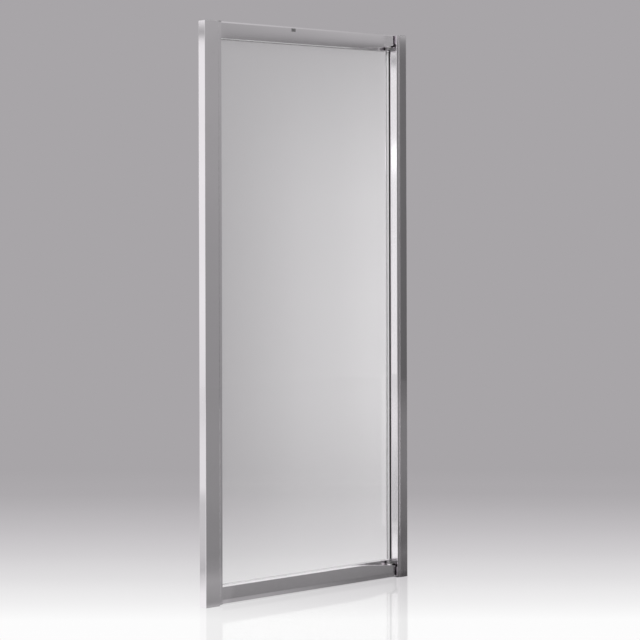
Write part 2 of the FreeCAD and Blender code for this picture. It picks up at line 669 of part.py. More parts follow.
def pivot_block(edge, sign):
    """Cast end of a rail: carries the bush, is swept under and turned about the pivot."""
    def at(x, u):
        return Vector(x, rail_front, edge + sign * u)

    turn_x = leaf_end - SWEEP_CORNER
    rise = sweep_rise(turn_x)
    arc = sweep_arc(seam, turn_x, at, 0)
    bow = SWEEP_CORNER * (1 - math.cos(math.pi / 4))
    corner = Part.Arc(at(turn_x, rise), at(leaf_end - bow, rise + bow), at(leaf_end, rise + SWEEP_CORNER))
    face = closed_face([arc, corner.toShape()], [at(leaf_end, RAIL_HEIGHT), at(seam, RAIL_HEIGHT)])
    nose = face.extrude(Vector(0, rib_front - rail_front, 0))
    height = TOP_BEVEL_HEIGHT if sign > 0 else FOOT_BEVEL_HEIGHT
    nose = nose.cut(bevel(edge, sign, seam, leaf_end, height))
    body = nose.fuse(pocket(edge, sign, seam, leaf_end))
    z0 = min(edge, edge + sign * RAIL_HEIGHT) - 1
    body = body.common(leaf_end_plan(z0, z0 + RAIL_HEIGHT + 2))
    inset = PROFILE_WALL + CORNER_BLOCK_PLAY
    plug = block(seam - PLUG_LENGTH, seam, rail_front + inset + BEVEL_DEPTH, rib_front - CORNER_BLOCK_PLAY,
                 edge + sign * (sweep_rise(seam) + inset), edge + sign * (RAIL_HEIGHT - inset))
    boss = rod(bush_radius + BUSH_WALL, Vector(axis_x, axis_y, edge + sign * boss_face),
               Vector(axis_x, axis_y, edge + sign * (boss_face + BUSH_LENGTH)))
    body = joined([body, plug, boss])
    bore = rod(bush_radius, Vector(axis_x, axis_y, edge), Vector(axis_x, axis_y, edge + sign * bore_end()))
    body = body.cut(bore)
    for x in (seam - BLOCK_SCREW_NEAR, seam - BLOCK_SCREW_FAR):
        far = Vector(x, axis_y, edge + sign * RAIL_HEIGHT)
        body = body.cut(rod(SCREW_RADIUS, far, far.sub(Vector(0, 0, sign * BLOCK_SCREW_LENGTH))))
    return body


def bore_end():
    return boss_face + BUSH_LENGTH + BUSH_HEADROOM


def block_screws():
    """Screws that hold the pivot blocks in the rails, their heads let into the rails."""
    screws = []
    for edge, sign in ENDS.values():
        for x in (seam - BLOCK_SCREW_NEAR, seam - BLOCK_SCREW_FAR):
            seat = Vector(x, axis_y, edge + sign * (RAIL_HEIGHT - SCREW_HEAD / 2))
            way = Vector(0, 0, sign)
            head = slotted_head(seat, way, SCREW_HEAD_RADIUS, SCREW_HEAD / 2)
            far = Vector(x, axis_y, edge + sign * (RAIL_HEIGHT - BLOCK_SCREW_LENGTH))
            screws.append(head.fuse(rod(SCREW_RADIUS, seat, far)))
    return Part.makeCompound(screws)


def bracket_screw_heights(edge, sign):
    middle = edge + sign * bracket_middle
    return [middle - BRACKET_SCREW_OUT, middle + BRACKET_SCREW_OUT]


def pivot_bracket(edge, sign):
    """Arm from inside the hinge post to the pivot, with a round tip."""
    z0 = edge + sign * BRACKET_OFFSET
    z1 = edge + sign * washer_start
    foot_left = reveal + POST_WALL + BRACKET_PLAY
    foot_right = hinge_mouth - POST_WALL
    arm = block(axis_x, foot_right, axis_y - BRACKET_HALF_WIDTH, axis_y + BRACKET_HALF_WIDTH, z0, z1)
    tip = rod(BRACKET_HALF_WIDTH, Vector(axis_x, axis_y, z0), Vector(axis_x, axis_y, z1))
    middle = edge + sign * bracket_middle
    foot = block(foot_left, foot_right, axis_y - BRACKET_FOOT_HALF_WIDTH, axis_y + BRACKET_FOOT_HALF_WIDTH,
                 middle - BRACKET_FOOT_REACH, middle + BRACKET_FOOT_REACH)
    body = joined([arm, tip, foot])
    body = body.cut(rod(PIN_RADIUS, Vector(axis_x, axis_y, edge), Vector(axis_x, axis_y, z1 + sign)))
    body = body.cut(rod(GRUB_RADIUS, Vector(axis_x, axis_y - BRACKET_HALF_WIDTH - 1, middle),
                        Vector(axis_x, axis_y, middle)))
    for z in bracket_screw_heights(edge, sign):
        end = Vector(foot_right, axis_y, z)
        body = body.cut(rod(SCREW_RADIUS, end.sub(Vector(BRACKET_SCREW_LENGTH, 0, 0)), end))
    return body


def bracket_screws():
    screws = []
    for edge, sign in ENDS.values():
        for z in bracket_screw_heights(edge, sign):
            base = Vector(hinge_mouth, axis_y, z)
            screws.append(screw(base, Vector(1, 0, 0), BRACKET_SCREW_LENGTH - PROFILE_WALL))
    return Part.makeCompound(screws)


def pivot_pin(edge, sign):
    start = Vector(axis_x, axis_y, edge + sign * BRACKET_OFFSET)
    end = Vector(axis_x, axis_y, edge + sign * (bore_end() - BUSH_HEADROOM - PIN_SHORT))
    return rod(PIN_RADIUS, start, end)


def pivot_bush(edge, sign):
    start = Vector(axis_x, axis_y, edge + sign * boss_face)
    end = Vector(axis_x, axis_y, edge + sign * (boss_face + BUSH_LENGTH))
    return rod(bush_radius, start, end).cut(rod(PIN_RADIUS + PIN_PLAY, start, end))


def thrust_washer(edge, sign):
    start = Vector(axis_x, axis_y, edge + sign * washer_start)
    end = Vector(axis_x, axis_y, edge + sign * (washer_start + WASHER_THICKNESS))
    return rod(WASHER_RADIUS, start, end).cut(rod(PIN_RADIUS, start, end))


def grub_screws():
    """Grub screws that lock the pins in the brackets."""
    screws = []
    for edge, sign in ENDS.values():
        z = edge + sign * bracket_middle
        start = Vector(axis_x, axis_y - BRACKET_HALF_WIDTH, z)
        grub = rod(GRUB_RADIUS, start, Vector(axis_x, axis_y, z))
        grub = grub.cut(rod(PIN_RADIUS, Vector(axis_x, axis_y, z - PIN_RADIUS),
                            Vector(axis_x, axis_y, z + PIN_RADIUS)))
        socket = rod(GRUB_RADIUS / 2, start, start.add(Vector(0, GRUB_RADIUS, 0)))
        screws.append(grub.cut(socket))
    return Part.makeCompound(screws)


# ---- glass, gaskets and seals ----

def glass_pane():
    pane = block(glass_left, glass_right, glass_front, glass_back,
                 bottom_edge - GLASS_BITE, top_edge + GLASS_BITE)
    rim = [e for e in pane.Edges if e.BoundBox.YLength < 0.01]
    return pane.makeChamfer(GLASS_ARRIS, rim)


def rail_gasket(edge, sign):
    """Gasket round the glass edge in a rail, with two lips that show."""
    x1 = reveal - GLASS_TO_REVEAL - HINGE_SEAL_GRIP
    outer = block(stile_right, x1, pocket_front, pocket_back, edge - sign * GASKET_LIP,
                  edge + sign * (GLASS_BITE + GASKET_FLOOR))
    room = block(stile_right, x1, glass_front, glass_back, edge - sign * GASKET_LIP,
                 edge + sign * GLASS_BITE)
    return outer.cut(room)


def closing_gasket():
    """Upright gasket round the glass edge in the closing stile."""
    mouth = stile_right + POCKET_DEPTH
    x0 = glass_left - GASKET_FLOOR
    z0 = bottom_edge + GASKET_LIP
    z1 = top_edge - GASKET_LIP
    outer = block(x0, mouth + GASKET_LIP, pocket_front, pocket_back, z0, z1)
    return outer.cut(block(glass_left, mouth + GASKET_LIP, glass_front, glass_back, z0, z1))


def setting_blocks():
    """Blocks that carry the glass's weight in the bottom rail."""
    z1 = bottom_edge - GLASS_BITE - GASKET_FLOOR
    z0 = bottom_edge - POCKET_DEPTH
    span = glass_right - glass_left
    blocks = []
    for share in (0.25, 0.75):
        x = glass_left + span * share
        blocks.append(block(x - SETTING_BLOCK_LENGTH / 2, x + SETTING_BLOCK_LENGTH / 2,
                            glass_front, glass_back, z0, z1))
    return Part.makeCompound(blocks)


def hinge_seal():
    """Black seal on the glass's free edge, beside the hinge post."""
    x0 = glass_right - HINGE_SEAL_GRIP
    x1 = reveal - HINGE_SEAL_PLAY
    z0 = bottom_edge + GASKET_LIP
    z1 = top_edge - GASKET_LIP
    outer = upright(x0, x1, glass_front - HINGE_SEAL_LEAD, glass_back + HINGE_SEAL_TAIL, z0, z1, RAIL_EDGE)
    return outer.cut(block(x0 - 1, glass_right, glass_front, glass_back, z0, z1))


def magnet_carrier(seat, way):
    """Strip that holds a magnet against its post or stile; way points to the gap."""
    y = front + MAGNET_SETBACK
    z0 = bottom_edge + MAGNET_END
    z1 = top_edge - MAGNET_END
    half = MAGNET_CARRIER_WIDTH / 2
    strip = block(seat, seat + way * MAGNET_CARRIER, y - half, y + half, z0, z1)
    return strip.cut(magnet(seat, way))


def magnet(seat, way):
    y = front + MAGNET_SETBACK
    half = MAGNET_WIDTH / 2
    return block(seat, seat + way * MAGNET, y - half, y + half,
                 bottom_edge + 2 * MAGNET_END, top_edge - 2 * MAGNET_END)


def bulb_seal(z0):
    """Bulb seal in a bar's channel, facing the leaf's back."""
    past_joiner = JOINER_LENGTH - joiner_over_post + JOINER_EDGE
    x0 = bar_start + past_joiner
    x1 = bar_end - past_joiner
    y0 = rail_back + BULB_PLAY
    z1 = z0 + BULB_HEIGHT
    points = [Vector(x0, y0, z0), Vector(x0, web_front, z0), Vector(x0, web_front, z1), Vector(x0, y0, z1)]
    return rounded_face(points, BULB_EDGE).extrude(Vector(x1 - x0, 0, 0))


def sweep_seal():
    """Fin under the bottom rail that brushes the tray, held by its root inside the rail."""
    y = rail_front + SWEEP_SEAL_BACK
    x1 = seam
    half = SWEEP_SEAL_FIN / 2
    fin = block(stile_right, x1, y - half, y + half, SWEEP_SEAL_PLAY, LEAF_CLEARANCE + PROFILE_WALL)
    root = block(stile_right + CORNER_BLOCK_LENGTH + SWEEP_SEAL_END, x1 - PLUG_LENGTH - SWEEP_SEAL_END,
                 y - SWEEP_SEAL_FOOT / 2, y + half, LEAF_CLEARANCE + PROFILE_WALL,
                 LEAF_CLEARANCE + PROFILE_WALL + SWEEP_SEAL_ROOT)
    return joined([fin, root])


def main():
    os.makedirs("parts", exist_ok=True)
    save(strike_channel(), "wall_channel_left")
    save(wall_channel(right, hinge_mouth), "wall_channel_right")
    save(strike_post(), "strike_post")
    save(hinge_post(), "hinge_post")
    save(strike_cap(), "post_cap_left")
    save(hinge_cap(), "post_cap_right")
    save(adjust_screws(strike_mouth - ADJUST_SCREW_INSET), "adjusting_screws_left")
    save(adjust_screws(hinge_mouth + ADJUST_SCREW_INSET), "adjusting_screws_right")
    save(screw_covers(strike_mouth - ADJUST_SCREW_INSET), "screw_covers_left")
    save(screw_covers(hinge_mouth + ADJUST_SCREW_INSET), "screw_covers_right")
    save(head_bar(), "head_bar")
    save(threshold(), "threshold")
    for level, (low, high) in BARS.items():
        for side in ("left", "right"):
            save(joiner(low, high, side), "joiner_" + level + "_" + side)
    save(joiner_screws(), "joiner_screws")
    save(bulb_seal(BARS["top"][0] + REAR_WEB), "head_seal")
    save(bulb_seal(BULB_LIFT), "threshold_seal")
    save(magnet_carrier(strike_face, 1), "strike_magnet_carrier")
    save(magnet(strike_face, 1), "strike_magnet")
    save(magnet_carrier(stile_left, -1), "leaf_magnet_carrier")
    save(magnet(stile_left, -1), "leaf_magnet")
    save(top_rail(), "leaf_top_rail")
    save(bottom_rail(), "leaf_bottom_rail")
    save(closing_stile(), "leaf_closing_stile")
    save(stile_cap(leaf_top - STILE_CAP), "stile_cap_top")
    save(stile_cap(LEAF_CLEARANCE), "stile_cap_bottom")
    save(corner_screws(), "corner_screws")
    save(block_screws(), "pivot_block_screws")
    save(bracket_screws(), "bracket_screws")
    save(grub_screws(), "pin_grub_screws")
    for level, (edge, sign) in ENDS.items():
        save(corner_block(edge, sign), "corner_block_" + level)
        save(pivot_block(edge, sign), "pivot_block_" + level)
        save(pivot_bracket(edge, sign), "pivot_bracket_" + level)
        save(pivot_pin(edge, sign), "pivot_pin_" + level)
        save(pivot_bush(edge, sign), "pivot_bush_" + level)
        save(thrust_washer(edge, sign), "thrust_washer_" + level)
        save(rail_gasket(edge, sign), "glazing_gasket_" + level)
    save(closing_gasket(), "glazing_gasket_closing")
    save(glass_pane(), "glass_pane")
    save(setting_blocks(), "setting_blocks")
    save(hinge_seal(), "hinge_seal")
    save(sweep_seal(), "sweep_seal")
    save(rail_clip(), "rail_clip")


main()
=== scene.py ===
import math

import bmesh
import bpy
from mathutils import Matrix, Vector


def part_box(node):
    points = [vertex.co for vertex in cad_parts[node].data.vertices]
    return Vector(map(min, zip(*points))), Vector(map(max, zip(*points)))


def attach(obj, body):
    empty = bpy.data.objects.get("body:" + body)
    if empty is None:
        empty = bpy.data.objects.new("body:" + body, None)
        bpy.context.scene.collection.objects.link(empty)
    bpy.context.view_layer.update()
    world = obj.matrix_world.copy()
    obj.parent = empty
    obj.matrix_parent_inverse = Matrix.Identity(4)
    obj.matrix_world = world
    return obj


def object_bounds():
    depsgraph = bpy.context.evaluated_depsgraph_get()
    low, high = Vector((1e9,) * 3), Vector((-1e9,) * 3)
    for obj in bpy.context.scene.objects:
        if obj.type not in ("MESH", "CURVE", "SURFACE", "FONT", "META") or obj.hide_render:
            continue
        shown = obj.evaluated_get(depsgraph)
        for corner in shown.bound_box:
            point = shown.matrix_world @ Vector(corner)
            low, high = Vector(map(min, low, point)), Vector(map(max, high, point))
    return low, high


bl_info = {
    "name": "Pivot Shower Door",
    "version": (1, 0, 0),
    "blender": (4, 5, 0),
    "location": "3D View > Sidebar > Shower Door",
    "description": "Finishes, fine pieces and a plain stage for a framed pivot shower door",
    "category": "Object",
}

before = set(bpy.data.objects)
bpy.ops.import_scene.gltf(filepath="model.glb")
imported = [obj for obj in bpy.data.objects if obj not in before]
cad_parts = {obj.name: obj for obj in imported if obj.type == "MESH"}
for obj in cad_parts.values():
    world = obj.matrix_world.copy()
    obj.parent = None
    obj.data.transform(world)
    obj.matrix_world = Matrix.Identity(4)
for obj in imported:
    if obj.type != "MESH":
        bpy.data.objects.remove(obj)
cad_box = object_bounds()

FRAME_BODY = "frame"
HOLE_COUNT = 4
HOLE_END = 0.1  # height of the lowest wall screw hole, and the top one's distance from the top

# the photograph's view of the door: camera place, turn and lens
EYE = Vector((-4.847, -5.258, 1.212))
VIEW_TURN = 43.09
VIEW_ROLL = 0.14
LENS_MM = 122.19
SENSOR_MM = 36.0
SHIFT_Y = -0.1527
VIEW_X = math.sin(math.radians(VIEW_TURN))
VIEW_Y = math.cos(math.radians(VIEW_TURN))

BACKDROP_LEVEL = 168
PLAIN_LIGHT = (0.62, 0.62, 0.62)
FLOOR_GLOSS = 0.2
FLOOR_MATT = 0.07
FLOOR_LIGHT = 0.25  # brightness that the lamps and the gloss already give the floor
FRONT_LIGHT = 0.17  # the same, for mirror rays that meet the floor before the door

# colours of the small pieces
MAGNET_STRIP = (0.07, 0.065, 0.065)
GREY_MOULDING = (0.50, 0.485, 0.50)
BLACK_MOULDING = (0.03, 0.03, 0.03)
WHITE_MOULDING = (0.78, 0.78, 0.75)
# CLIP_MOULDING is far darker than the grey mouldings, so that the clip shows as a dark mark on the top
# rail
CLIP_MOULDING = (0.18, 0.175, 0.18)
BRIGHT_STEEL = (0.62, 0.61, 0.62)
DARK_STEEL = (0.30, 0.29, 0.30)
GLASS_HAZE = (0.86, 0.88, 0.88)
GLASS_SHADOW = 0.94

# softness of corners in the finish, in metres
SMALL_CORNER = 0.0003
MOULDED_CORNER = 0.0004
# softness of the edges of the painted shade strip on the hinge seal
SHADE_STRIP_BLUR = 0.0002


# ---------------------------------------------------------------- shader kit

class Field:
    """A value that changes over a surface: arithmetic on it adds Math nodes."""

    def __init__(self, sheet, socket):
        self.sheet = sheet
        self.socket = socket

    def math(self, operation, *values, clamp=False):
        return self.sheet.node("ShaderNodeMath", {"operation": operation, "use_clamp": clamp},
                               dict(enumerate(values)))

    def __add__(self, other):
        return self.math("ADD", self, other)

    def __radd__(self, other):
        return self.math("ADD", other, self)

    def __sub__(self, other):
        return self.math("SUBTRACT", self, other)

    def __rsub__(self, other):
        return self.math("SUBTRACT", other, self)

    def __mul__(self, other):
        return self.math("MULTIPLY", self, other)

    def __rmul__(self, other):
        return self.math("MULTIPLY", other, self)

    def __truediv__(self, other):
        return self.math("DIVIDE", self, other)

    def __rtruediv__(self, other):
        return self.math("DIVIDE", other, self)

    def clamped(self):
        return self.math("ADD", self, 0.0, clamp=True)


class Sheet:
    """The node tree of one finish, or of the surroundings."""

    def __init__(self, tree):
        self.tree = tree
        tree.nodes.clear()

    def node(self, kind, settings=None, inputs=None, out=0):
        """Adds a node: settings first, then its inputs, and returns one output as a Field."""
        new = self.tree.nodes.new(kind)
        for key, value in (settings or {}).items():
            if key == "stops":
                self.set_stops(new.color_ramp, value)
            else:
                setattr(new, key, value)
        for key, value in (inputs or {}).items():
            socket = new.inputs[key]
            if isinstance(value, Field):
                self.tree.links.new(value.socket, socket)
            else:
                socket.default_value = value
        return Field(self, new.outputs[out])

    def set_stops(self, ramp, stops):
        while len(ramp.elements) > 1:
            ramp.elements.remove(ramp.elements[-1])
        ramp.elements[0].position = stops[0][0]
        ramp.elements[0].color = shade(stops[0][1])
        for place, tone in stops[1:]:
            element = ramp.elements.new(place)
            element.color = shade(tone)

    def profile(self, value, low, high, stops):
        """Tone by value: stops are (share of the way from low to high, grey or colour)."""
        share = self.span(value, low, high)
        return self.node("ShaderNodeValToRGB", {"stops": stops}, {"Fac": share})

    def span(self, value, low, high, out_low=0.0, out_high=1.0, shape="LINEAR"):
        return self.node("ShaderNodeMapRange", {"interpolation_type": shape, "clamp": True},
                         {"Value": value, "From Min": low, "From Max": high,
                          "To Min": out_low, "To Max": out_high})

    def mix(self, factor, first, second):
        return self.node("ShaderNodeMix", {"data_type": "RGBA"},
                         {0: factor, 6: tone(first), 7: tone(second)}, out=2)

    def vector(self, operation, *values, out=0):
        return self.node("ShaderNodeVectorMath", {"operation": operation},
                         dict(enumerate(values)), out=out)

    def scaled(self, vector, factor):
        return self.node("ShaderNodeVectorMath", {"operation": "SCALE"}, {0: vector, "Scale": factor})

    def place(self):
        return self.node("ShaderNodeTexCoord", out="Object")

    def own_normal(self):
        """Normal in the piece's own axes, which turn with it."""
        return self.node("ShaderNodeTexCoord", out="Normal")

    def split(self, vector):
        return [self.node("ShaderNodeSeparateXYZ", {}, {0: vector}, out=i) for i in range(3)]

    def noise(self, vector, scale, detail=3.0, rough=0.5, stretch=None):
        if stretch:
            vector = self.vector("MULTIPLY", vector, stretch)
        return self.node("ShaderNodeTexNoise", {}, {"Vector": vector, "Scale": scale,
                                                    "Detail": detail, "Roughness": rough})

    def soft_edges(self, radius):
        return self.node("ShaderNodeBevel", {"samples": 4}, {"Radius": radius})

    def edge_wear(self, soft):
        """1 on the sharp edges and 0 away from them."""
        plain = self.node("ShaderNodeNewGeometry", out="Normal")
        same = self.vector("DOT_PRODUCT", soft, plain, out="Value")
        return self.span(same, 0.995, 0.80)

    def bump(self, height, strength, distance, normal=None):
        inputs = {"Height": height, "Strength": strength, "Distance": distance}
        if normal:
            inputs["Normal"] = normal
        return self.node("ShaderNodeBump", {}, inputs)

    def finish_with(self, shader, kind="ShaderNodeOutputMaterial"):
        end = self.tree.nodes.new(kind)
        self.tree.links.new(shader.socket, end.inputs["Surface"])


def shade(value):
    """Grey number or colour as four numbers."""
    if isinstance(value, (int, float)):
        return (value, value, value, 1.0)
    return (*tuple(value)[:3], 1.0)


def tone(value):
    return value if isinstance(value, Field) else shade(value)


def linear(level):
    """Light value of an 8-bit screen level."""
    share = level / 255
    return share / 12.92 if share <= 0.04045 else ((share + 0.055) / 1.055) ** 2.4


def screen(level):
    """The stage's faintly warm violet grey at a screen level."""
    green = level - 3.0 * min(1.0, (255 - level) / 60)
    return (linear(level), linear(green), linear(level))


def tinted(colour, factor, lift=0.0):
    """Colour made darker or brighter, up to white."""
    return [min(1.0, c * factor + lift) for c in colour]


def new_finish(name):
    """New material and the sheet of its nodes."""
    material = bpy.data.materials.new(name)
    material.use_nodes = True
    return material, Sheet(material.node_tree)


# ---------------------------------------------------------------- finishes

ALONG_Z = (1.0, 1.0, 0.012)
ALONG_X = (0.012, 1.0, 1.0)


def silver_finish(name, look, stretch, painted_dim=1.0, painted_shade_step=0.0, rounding=1.0):
    """Polished silver profile: fine drawing lines along it, faint cloudiness, worn edges.

    Where the step depth is given, faces that look to the left and lie before that depth get painted
    shade: they are made dark and rougher.
    """
    material, sheet = new_finish(name)
    place = sheet.place()
    lines = sheet.noise(place, 900.0, 2.0, 0.6, stretch)
    cloud = sheet.noise(place, 5.0, 4.0, 0.55)
    spots = sheet.noise(place, 46.0, 3.0, 0.6)
    soft = sheet.soft_edges(look.edge_radius * rounding)
    wear = sheet.edge_wear(soft)
    # the dimming factor makes a darker copy of the silver: painted shade
    base = tinted(look.silver, painted_dim)
    colour = sheet.mix(sheet.span(cloud, 0.35, 0.7), tinted(base, 0.965), base)
    colour = sheet.mix(sheet.span(spots, 0.62, 0.75) * 0.25, colour, tinted(base, 0.88))
    colour = sheet.mix(wear * 0.5, colour, tinted(base, 1.12))
    rough = look.silver_roughness + 0.015 * cloud + 0.01 * lines + 0.08 * wear
    # painted shade: left-facing faces of the step before the given depth turn dark, making a dark line
    # beside the reveal
    if painted_shade_step:
        flank = sheet.split(sheet.own_normal())[0] * -1.0
        ahead = sheet.span(sheet.split(place)[1], painted_shade_step, painted_shade_step - 0.0005)
        step_shade = sheet.span(flank, 0.6, 0.9) * ahead
        colour = sheet.mix(step_shade, colour, tinted(base, 0.25))
        rough = rough + step_shade * 0.4
    normal = sheet.bump(lines, 0.02, 0.0001, soft)
    shader = sheet.node("ShaderNodeBsdfPrincipled", {}, {
        "Base Color": colour, "Metallic": 1.0, "Roughness": rough, "Normal": normal})
    sheet.finish_with(shader)
    return material


def cast_finish(name, look):
    """Cast and polished end pieces: a touch greyer and more pebbled than the drawn profiles."""
    material, sheet = new_finish(name)
    place = sheet.place()
    grain = sheet.noise(place, 420.0, 4.0, 0.6)
    cloud = sheet.noise(place, 22.0, 4.0, 0.55)
    soft = sheet.soft_edges(look.edge_radius)
    wear = sheet.edge_wear(soft)
    colour = sheet.mix(cloud, tinted(look.cast, 0.93), look.cast)
    colour = sheet.mix(wear * 0.6, colour, tinted(look.cast, 1.15))
    rough = look.cast_roughness + 0.06 * cloud + 0.1 * wear
    normal = sheet.bump(grain, 0.08, 0.0003, soft)
    shader = sheet.node("ShaderNodeBsdfPrincipled", {}, {
        "Base Color": colour, "Metallic": 1.0, "Roughness": rough, "Normal": normal})
    sheet.finish_with(shader)
    return material


def steel_finish(name, colour, roughness):
    """Plain turned or stamped steel with fine rings of tool marks and dulled corners."""
    material, sheet = new_finish(name)
    place = sheet.place()
    marks = sheet.noise(place, 1500.0, 2.0, 0.6, (1.0, 1.0, 0.1))
    cloud = sheet.noise(place, 60.0, 4.0, 0.6)
    soft = sheet.soft_edges(SMALL_CORNER)
    wear = sheet.edge_wear(soft)
    shaded = sheet.mix(cloud, tinted(colour, 0.86), colour)
    shaded = sheet.mix(wear * 0.7, shaded, tinted(colour, 1.35, 0.05))
    rough = roughness + 0.12 * cloud + 0.05 * marks
    shader = sheet.node("ShaderNodeBsdfPrincipled", {}, {
        "Base Color": shaded, "Metallic": 1.0, "Roughness": rough,
        "Normal": sheet.bump(marks, 0.12, 0.0002, soft)})
    sheet.finish_with(shader)
    return material


def moulded_finish(name, colour, roughness):
    """Moulded plastic or rubber: fine sheen grain, cloudy tone, rubbed edges."""
    material, sheet = new_finish(name)
    place = sheet.place()
    grain = sheet.noise(place, 700.0, 3.0, 0.6)
    cloud = sheet.noise(place, 30.0, 4.0, 0.6)
    soft = sheet.soft_edges(MOULDED_CORNER)
    wear = sheet.edge_wear(soft)
    shaded = sheet.mix(cloud, tinted(colour, 0.85), tinted(colour, 1.08))
    shaded = sheet.mix(wear * 0.5, shaded, tinted(colour, 1.2, 0.02))
    rough = roughness + 0.12 * cloud + 0.06 * wear
    shader = sheet.node("ShaderNodeBsdfPrincipled", {}, {
        "Base Color": shaded, "Roughness": rough,
        "Normal": sheet.bump(grain, 0.15, 0.0002, soft)})
    sheet.finish_with(shader)
    return material


def clear_plastic(name, look, shade_strip=None):
    """Milky soft plastic; between the two places given along X it gets painted shade: a dark, soft
    strip.
    """
    material, sheet = new_finish(name)
    place = sheet.place()
    cloud = sheet.noise(place, 40.0, 3.0, 0.6)
    soft = sheet.soft_edges(SMALL_CORNER)
    clear = sheet.node("ShaderNodeBsdfPrincipled", {}, {
        "Base Color": sheet.mix(cloud, tinted(look.clear_seal, 0.94), look.clear_seal),
        "Roughness": 0.18 + 0.12 * cloud,
        "Normal": sheet.bump(cloud, 0.05, 0.0003, soft)})
    if shade_strip is None:
        sheet.finish_with(clear)
        return material
    # painted shade: the dark strip between the two places, where a dark line shows between pane and
    # hinge post
    dark = sheet.node("ShaderNodeBsdfPrincipled", {}, {
        "Base Color": sheet.mix(cloud, tinted(look.rubber, 0.8), tinted(look.rubber, 1.3)),
        "Roughness": 0.5 + 0.15 * cloud, "Normal": soft})
    x = sheet.split(place)[0]
    start, end = shade_strip
    share = (sheet.span(x, start - SHADE_STRIP_BLUR, start + SHADE_STRIP_BLUR)
             * sheet.span(x, end + SHADE_STRIP_BLUR, end - SHADE_STRIP_BLUR))
    sheet.finish_with(sheet.node("ShaderNodeMixShader", {}, {0: share, 1: clear, 2: dark}))
    return material


def glass_finish(name, look):
    """Clear toughened glass with a faint film of haze and its greener ground edge."""
    material, sheet = new_finish(name)
    place = sheet.place()
    film = sheet.noise(place, 2.2, 5.0, 0.6, (1.0, 1.0, 0.35))
    ripple = sheet.noise(place, 3.0, 2.0, 0.5)
    across = sheet.split(sheet.own_normal())[1]
    edge = sheet.span(across.math("ABSOLUTE", across), 0.9, 0.5)
    colour = sheet.mix(edge, look.glass_tint, look.glass_edge)
    clear = sheet.node("ShaderNodeBsdfPrincipled", {}, {
        "Base Color": colour, "Roughness": 0.01 + 0.02 * film, "IOR": 1.5,
        "Transmission Weight": 1.0,
        "Normal": sheet.bump(ripple, 0.02, 0.0005)})
    haze = sheet.node("ShaderNodeBsdfDiffuse", {}, {"Color": shade(GLASS_HAZE)})
    dressed = sheet.node("ShaderNodeMixShader", {}, {
        0: sheet.span(film, 0.35, 0.75, look.haze * 0.6, look.haze), 1: clear, 2: haze})
    through = sheet.node("ShaderNodeBsdfTransparent", {}, {"Color": shade(GLASS_SHADOW)})
    shadow = sheet.node("ShaderNodeLightPath", out="Is Shadow Ray")
    sheet.finish_with(sheet.node("ShaderNodeMixShader", {}, {0: shadow, 1: dressed, 2: through}))
    return material


def dress(names, material):
    """Gives CAD nodes a finish through their material slots."""
    for name in names:
        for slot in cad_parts[name].material_slots:
            slot.material = material


# ---------------------------------------------------------------- settings

class DoorLook(bpy.types.PropertyGroup):
    """Colours and surface values of the door."""

    silver: bpy.props.FloatVectorProperty(
        name="Silver", description="Colour of the polished profiles", subtype="COLOR",
        size=3, min=0, max=1, default=(0.80, 0.77, 0.80))
    cast: bpy.props.FloatVectorProperty(
        name="Cast Ends", description="Colour of the cast pivot ends", subtype="COLOR",
        size=3, min=0, max=1, default=(0.79, 0.76, 0.79))
    silver_roughness: bpy.props.FloatProperty(
        name="Silver Roughness", description="Roughness of the polished profiles",
        min=0, max=1, default=0.015)
    cast_roughness: bpy.props.FloatProperty(
        name="Cast Roughness", description="Roughness of the cast pivot ends",
        min=0, max=1, default=0.09)
    edge_radius: bpy.props.FloatProperty(
        name="Edge Radius", description="Softness of the profiles' corners in the finish",
        min=0, max=0.005, default=0.0007, unit="LENGTH", precision=5)
    glass_tint: bpy.props.FloatVectorProperty(
        name="Glass", description="Colour of light through the pane", subtype="COLOR",
        size=3, min=0, max=1, default=(0.985, 0.985, 0.985))
    glass_edge: bpy.props.FloatVectorProperty(
        name="Glass Edge", description="Colour of the pane's ground edge", subtype="COLOR",
        size=3, min=0, max=1, default=(0.55, 0.72, 0.66))
    hole_radius: bpy.props.FloatProperty(
        name="Hole Blank Radius", description="Radius of the blanks in the wall channels",
        min=0, max=0.01, default=0.0026, unit="LENGTH", precision=5)
    hole_blank: bpy.props.FloatProperty(
        name="Hole Blank Thickness", description="Thickness of the blanks in the wall channels",
        min=0, max=0.01, default=0.0008, unit="LENGTH", precision=5)
    haze: bpy.props.FloatProperty(
        name="Haze", description="Share of the pane's face that looks faintly filmed",
        min=0, max=1, default=0.05)
    rubber: bpy.props.FloatVectorProperty(
        name="Dark Rubber", description="Colour of the dark seals", subtype="COLOR",
        size=3, min=0, max=1, default=(0.022, 0.021, 0.022))
    clear_seal: bpy.props.FloatVectorProperty(
        name="Clear Seal", description="Milky colour of the clear seal and gaskets",
        subtype="COLOR", size=3, min=0, max=1, default=(0.93, 0.92, 0.93))
    # The seal's dark lip is painted shade: a dark strip on the clear seal where a dark line shows
    # beside the pane.
    shade_strip_start: bpy.props.FloatProperty(
        name="Seal Lip Start", description="Distance from the seal's edge on the pane to its dark lip",
        min=0, max=0.01, default=0.0047, unit="LENGTH", precision=5)
    shade_strip_width: bpy.props.FloatProperty(
        name="Seal Lip", description="Width of the seal's dark soft lip",
        min=0, max=0.01, default=0.004, unit="LENGTH", precision=5)
    grey_seal: bpy.props.FloatVectorProperty(
        name="Grey Seal", description="Colour of the gaskets and of the sweep seal",
        subtype="COLOR", size=3, min=0, max=1, default=(0.25, 0.245, 0.25))


class DoorStage(bpy.types.PropertyGroup):
    """Light and ground round the door."""

    key_power: bpy.props.FloatProperty(
        name="Key Lamp", description="Power of the large lamp at the front left",
        min=0, max=1000, default=120.0, unit="POWER")
    fill_power: bpy.props.FloatProperty(
        name="Fill Lamp", description="Power of the lamp at the back",
        min=0, max=1000, default=60.0, unit="POWER")
    ground_reach: bpy.props.FloatProperty(
        name="Ground Reach", description="Half the side of the pale floor",
        min=1, max=50, default=7.0, unit="LENGTH")


# ---------------------------------------------------------------- operators

